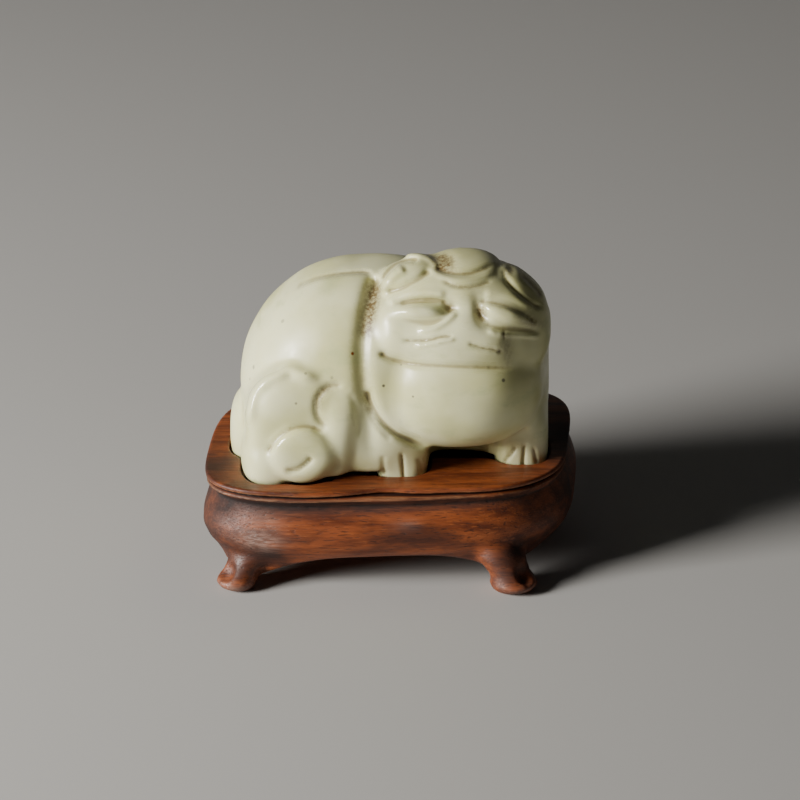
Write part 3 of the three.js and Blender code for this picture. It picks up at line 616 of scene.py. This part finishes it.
def make_stand():
    """The stand, finest at its moulded rim."""
    planes = [
        grid_planes(-42, 42, [(42, 0.5)]),
        grid_planes(-28, 34, [(34, 0.5)]),
        grid_planes(-0.6, 23, [(8, 0.5), (18, 0.7), (19.4, 0.4), (22.5, 0.2)]),
    ]
    points, faces = skin_of(stand_field, planes)
    looks = {"hollow": hollowness(stand_field, points, 0.7)}
    for name, patches in (("stain_and_shade", WOOD_DARK_PATCHES), ("painted_highlight", WOOD_PAINTED_HIGHLIGHTS)):
        looks[name] = patches_at(points, patches)
    return make_piece("rosewood_stand", points, faces, looks)


# Finishes


def linear(code):
    """Linear colour of an sRGB hex value such as "d7d5be"."""
    shares = [int(code[n : n + 2], 16) / 255 for n in (0, 2, 4)]
    return [s / 12.92 if s <= 0.04045 else ((s + 0.055) / 1.055) ** 2.4 for s in shares] + [1.0]


def add_node(tree, kind, settings=None, inputs=None):
    """Adds a node to a tree. Inputs are values, or outputs of other nodes to link from."""
    node = tree.nodes.new(kind)
    for key, value in (settings or {}).items():
        setattr(node, key, value)
    for key, value in (inputs or {}).items():
        if isinstance(value, bpy.types.NodeSocket):
            tree.links.new(value, node.inputs[key])
        else:
            node.inputs[key].default_value = value
    return node


def new_material(name):
    """An empty node material with its shader, and object coordinates in mm."""
    material = bpy.data.materials.new(name)
    material.use_nodes = True
    tree = material.node_tree
    tree.nodes.clear()
    shader = add_node(tree, "ShaderNodeBsdfPrincipled")
    add_node(tree, "ShaderNodeOutputMaterial", inputs={"Surface": shader.outputs["BSDF"]})
    place = add_node(tree, "ShaderNodeTexCoord").outputs["Object"]
    return material, tree, shader, place


def noise(tree, place, stretch, detail, rough):
    """Soft noise with one repeat each stretch (mm along X, Y and Z)."""
    scale = tuple(1000 / s for s in stretch)
    spread = add_node(tree, "ShaderNodeVectorMath", {"operation": "MULTIPLY"}, {0: place, 1: scale})
    inputs = {"Vector": spread.outputs[0], "Scale": 1.0, "Detail": detail, "Roughness": rough}
    return add_node(tree, "ShaderNodeTexNoise", None, inputs).outputs["Fac"]


def between(tree, value, low, high, to_low=0.0, to_high=1.0):
    """A value's place between two levels, as a soft step."""
    inputs = {"Value": value, "From Min": low, "From Max": high, "To Min": to_low, "To Max": to_high}
    return add_node(tree, "ShaderNodeMapRange", {"interpolation_type": "SMOOTHSTEP"}, inputs).outputs["Result"]


def blend(tree, share, first, second, way="MIX"):
    """Two colours mixed by a share."""
    node = add_node(tree, "ShaderNodeMix", {"data_type": "RGBA", "blend_type": way})
    for socket, value in ((node.inputs[0], share), (node.inputs[6], first), (node.inputs[7], second)):
        if isinstance(value, bpy.types.NodeSocket):
            tree.links.new(value, socket)
        else:
            socket.default_value = value
    return node.outputs[2]


def sum_of(tree, operation, a, b, clamp=False):
    """One step of arithmetic on two values."""
    return add_node(tree, "ShaderNodeMath", {"operation": operation, "use_clamp": clamp}, {0: a, 1: b}).outputs[0]


def attribute(tree, name):
    return add_node(tree, "ShaderNodeAttribute", {"attribute_name": name}).outputs["Fac"]


def with_grains(tree, place, colour, lion_mesh):
    """The colour with the coloured grains laid over it, each a soft dot on the skin's nearest front point."""
    points = np.empty(len(lion_mesh.vertices) * 3)
    lion_mesh.vertices.foreach_get("co", points)
    points = points.reshape(-1, 3)
    points = points[points[:, 1] < 0]
    up = points[:, 2] * math.cos(FRONT_TILT) + (points[:, 1] + STAND_SHIFT * MM) * math.sin(FRONT_TILT)
    for kind, grains in GRAINS.items():
        for across, high, radius, strength in grains:
            nearest = points[np.hypot(points[:, 0] - across * MM, up - high * MM).argmin()]
            inputs = {0: place, 1: tuple(nearest)}
            away = add_node(tree, "ShaderNodeVectorMath", {"operation": "DISTANCE"}, inputs).outputs["Value"]
            share = between(tree, away, radius * MM, 0.4 * radius * MM, 0, strength)
            colour = blend(tree, share, colour, linear(GRAIN_COLOURS[kind]))
    return colour


def jade_material(lion_mesh):
    """Polished pale green jade: cloudy and slightly see-through, so that light spreads under its skin."""
    material, tree, shader, place = new_material("polished_pale_jade")
    cloud = noise(tree, place, (16, 16, 16), 3, 0.5)
    vein = noise(tree, place, (9, 14, 5), 5, 0.6)
    fleck = noise(tree, place, (0.7, 0.7, 0.7), 3, 0.7)
    colour = blend(tree, between(tree, cloud, 0.35, 0.65), linear("d3d196"), linear("e8e7b8"))
    colour = blend(tree, between(tree, vein, 0.55, 0.75, 0, 0.6), colour, linear("bdc389"))
    hollow = attribute(tree, "hollow")
    # Painted shade: olive laid into hollows and creases, where shade falls.
    deep = between(tree, hollow, 0.03, 0.3)
    colour = blend(tree, sum_of(tree, "MULTIPLY", deep, 0.7), colour, linear("9c8f5c"))
    # Brown stains of the carving, and painted olive shade on the muzzle's right side, from the same map.
    stain_and_shade = attribute(tree, "stain_and_shade")
    patchy = between(tree, fleck, 0.35, 0.62, 0.5, 1.0)
    brown = sum_of(tree, "MULTIPLY", stain_and_shade, patchy, True)
    colour = blend(tree, brown, colour, linear("6e5a36"))
    colour = with_grains(tree, place, colour, lion_mesh)
    tree.links.new(colour, shader.inputs["Base Color"])
    shader.inputs["Subsurface Weight"].default_value = 0.25
    shader.inputs["Subsurface Radius"].default_value = (1.0, 0.9, 0.6)
    shader.inputs["Subsurface Scale"].default_value = 0.0018
    shader.inputs["IOR"].default_value = 1.61
    rough = between(tree, noise(tree, place, (3, 3, 3), 3, 0.6), 0.3, 0.7, 0.3, 0.42)
    polish = between(tree, hollow, -0.02, -0.12, 1.0, 0.5)
    tree.links.new(sum_of(tree, "MULTIPLY", rough, polish), shader.inputs["Roughness"])
    return material


def rosewood_material():
    """Old waxed rosewood, carved and worn: red-brown with dark streaks and short open pores along X."""
    material, tree, shader, place = new_material("waxed_rosewood")
    blotch = noise(tree, place, (22, 15, 8), 4, 0.6)
    streak = noise(tree, place, (18, 2.2, 1.8), 4, 0.55)
    fibre = noise(tree, place, (7, 0.4, 0.4), 3, 0.6)
    pore = noise(tree, place, (2.4, 0.22, 0.22), 1, 0.5)
    colour = blend(tree, between(tree, streak, 0.3, 0.7), linear("58260d"), linear("914a21"))
    colour = blend(tree, between(tree, fibre, 0.5, 0.75, 0, 0.45), colour, linear("b4683a"))
    colour = blend(tree, between(tree, blotch, 0.48, 0.66, 0, 0.75), colour, linear("2c120a"))
    # Dark patches: stains, with painted shade in the cove under the rim.
    stain_and_shade = attribute(tree, "stain_and_shade")
    patchy = between(tree, blotch, 0.25, 0.6, 0.55, 1.0)
    colour = blend(tree, sum_of(tree, "MULTIPLY", stain_and_shade, patchy, True), colour, linear("1d0d09"))
    pores = between(tree, pore, 0.60, 0.70)
    colour = blend(tree, sum_of(tree, "MULTIPLY", pores, 0.6), colour, linear("1c0b06"))
    hollow = attribute(tree, "hollow")
    dirt = between(tree, hollow, 0.04, 0.3)
    colour = blend(tree, sum_of(tree, "MULTIPLY", dirt, 0.85), colour, linear("150b08"))
    worn = between(tree, hollow, -0.25, -0.55)
    rubbed = sum_of(tree, "MULTIPLY", worn, between(tree, fibre, 0.4, 0.6, 0.1, 0.5))
    colour = blend(tree, rubbed, colour, linear("976a45"))
    # Painted highlights: the greyish sheen laid into the colour on the bulge and the toes.
    painted_highlight = sum_of(tree, "MULTIPLY", attribute(tree, "painted_highlight"), between(tree, fibre, 0.35, 0.6, 0.3, 1.0))
    colour = blend(tree, painted_highlight, colour, linear("c2a597"))
    tree.links.new(colour, shader.inputs["Base Color"])
    dull = sum_of(tree, "MULTIPLY", stain_and_shade, 0.35)
    rough = sum_of(tree, "ADD", between(tree, fibre, 0.3, 0.7, 0.52, 0.42), dull)
    tree.links.new(rough, shader.inputs["Roughness"])
    grain = sum_of(tree, "SUBTRACT", fibre, pores)
    bump = add_node(tree, "ShaderNodeBump", None, {"Height": grain, "Strength": 0.35, "Distance": 0.0002})
    tree.links.new(bump.outputs[0], shader.inputs["Normal"])
    shader.inputs["IOR"].default_value = 1.5
    return material


def paper_material():
    """Matt pale studio paper."""
    material, tree, shader, place = new_material("pale_studio_paper")
    shader.inputs["Base Color"].default_value = linear("b4b2ae")
    shader.inputs["Roughness"].default_value = 0.85
    return material


# The studio


def make_floor():
    """A floor that sweeps up into a backdrop: a profile of a level, a quarter round and a wall, drawn out along X."""
    depth, radius, height, half = 0.9, 0.35, 1.2, 1.6
    turn = np.linspace(0, math.pi / 2, 25)
    y = np.concatenate([[-1.6], depth + radius * np.sin(turn), [depth + radius]])
    z = np.concatenate([[0], radius * (1 - np.cos(turn)), [height]])
    rows = len(y)
    points = np.stack([np.tile([-half, half], rows), np.repeat(y, 2), np.repeat(z, 2)], axis=1)
    first = 2 * np.arange(rows - 1)
    faces = np.stack([first, first + 1, first + 3, first + 2], axis=1)
    mesh = bpy.data.meshes.new("studio_floor")
    mesh.from_pydata(points.tolist(), [], faces.tolist())
    mesh.polygons.foreach_set("use_smooth", np.ones(len(mesh.polygons), bool))
    floor = bpy.data.objects.new("studio_floor", mesh)
    bpy.context.collection.objects.link(floor)
    floor.data.materials.append(paper_material())


def aim(thing, place, target):
    """Puts a light or camera at a place and points it at a target."""
    thing.location = place
    thing.rotation_euler = (Vector(target) - Vector(place)).to_track_quat("-Z", "Y").to_euler()


def make_light(name, place, target, size, power, colour):
    """A soft box: a square area light."""
    data = bpy.data.lights.new(name, "AREA")
    data.size = size
    data.energy = power
    data.color = colour
    light = bpy.data.objects.new(name, data)
    bpy.context.collection.objects.link(light)
    aim(light, place, target)


def make_camera():
    """The photograph's view: from the front, 24 degrees above the table, 750 mm away."""
    distance = 0.75
    back = Vector((0, -math.cos(FRONT_TILT), math.sin(FRONT_TILT)))
    up = Vector((0, math.sin(FRONT_TILT), math.cos(FRONT_TILT)))
    middle = Vector((0, -STAND_SHIFT * MM, 0.025))
    data = bpy.data.cameras.new("camera")
    data.lens = 168.75
    data.clip_start = 0.01
    camera = bpy.data.objects.new("camera", data)
    bpy.context.collection.objects.link(camera)
    aim(camera, middle + back * distance, middle + Vector((0.002, 0, 0)) + up * 0.006)
    bpy.context.scene.camera = camera


lion = make_lion()
lion.data.materials.append(jade_material(lion.data))
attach(lion, "root")
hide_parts("lion_carving")

stand = make_stand()
stand.data.materials.append(rosewood_material())
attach(stand, "root")
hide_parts("wood_stand")

make_floor()
make_camera()
make_light("key", (-0.73, -0.34, 0.3), (0, 0, 0.03), 0.3, 17, (1.0, 0.98, 0.95))
world = bpy.data.worlds.new("studio_air")
world.use_nodes = True
world.node_tree.nodes["Background"].inputs["Color"].default_value = (0.8, 0.85, 0.9, 1)
world.node_tree.nodes["Background"].inputs["Strength"].default_value = 0.02
bpy.context.scene.world = world
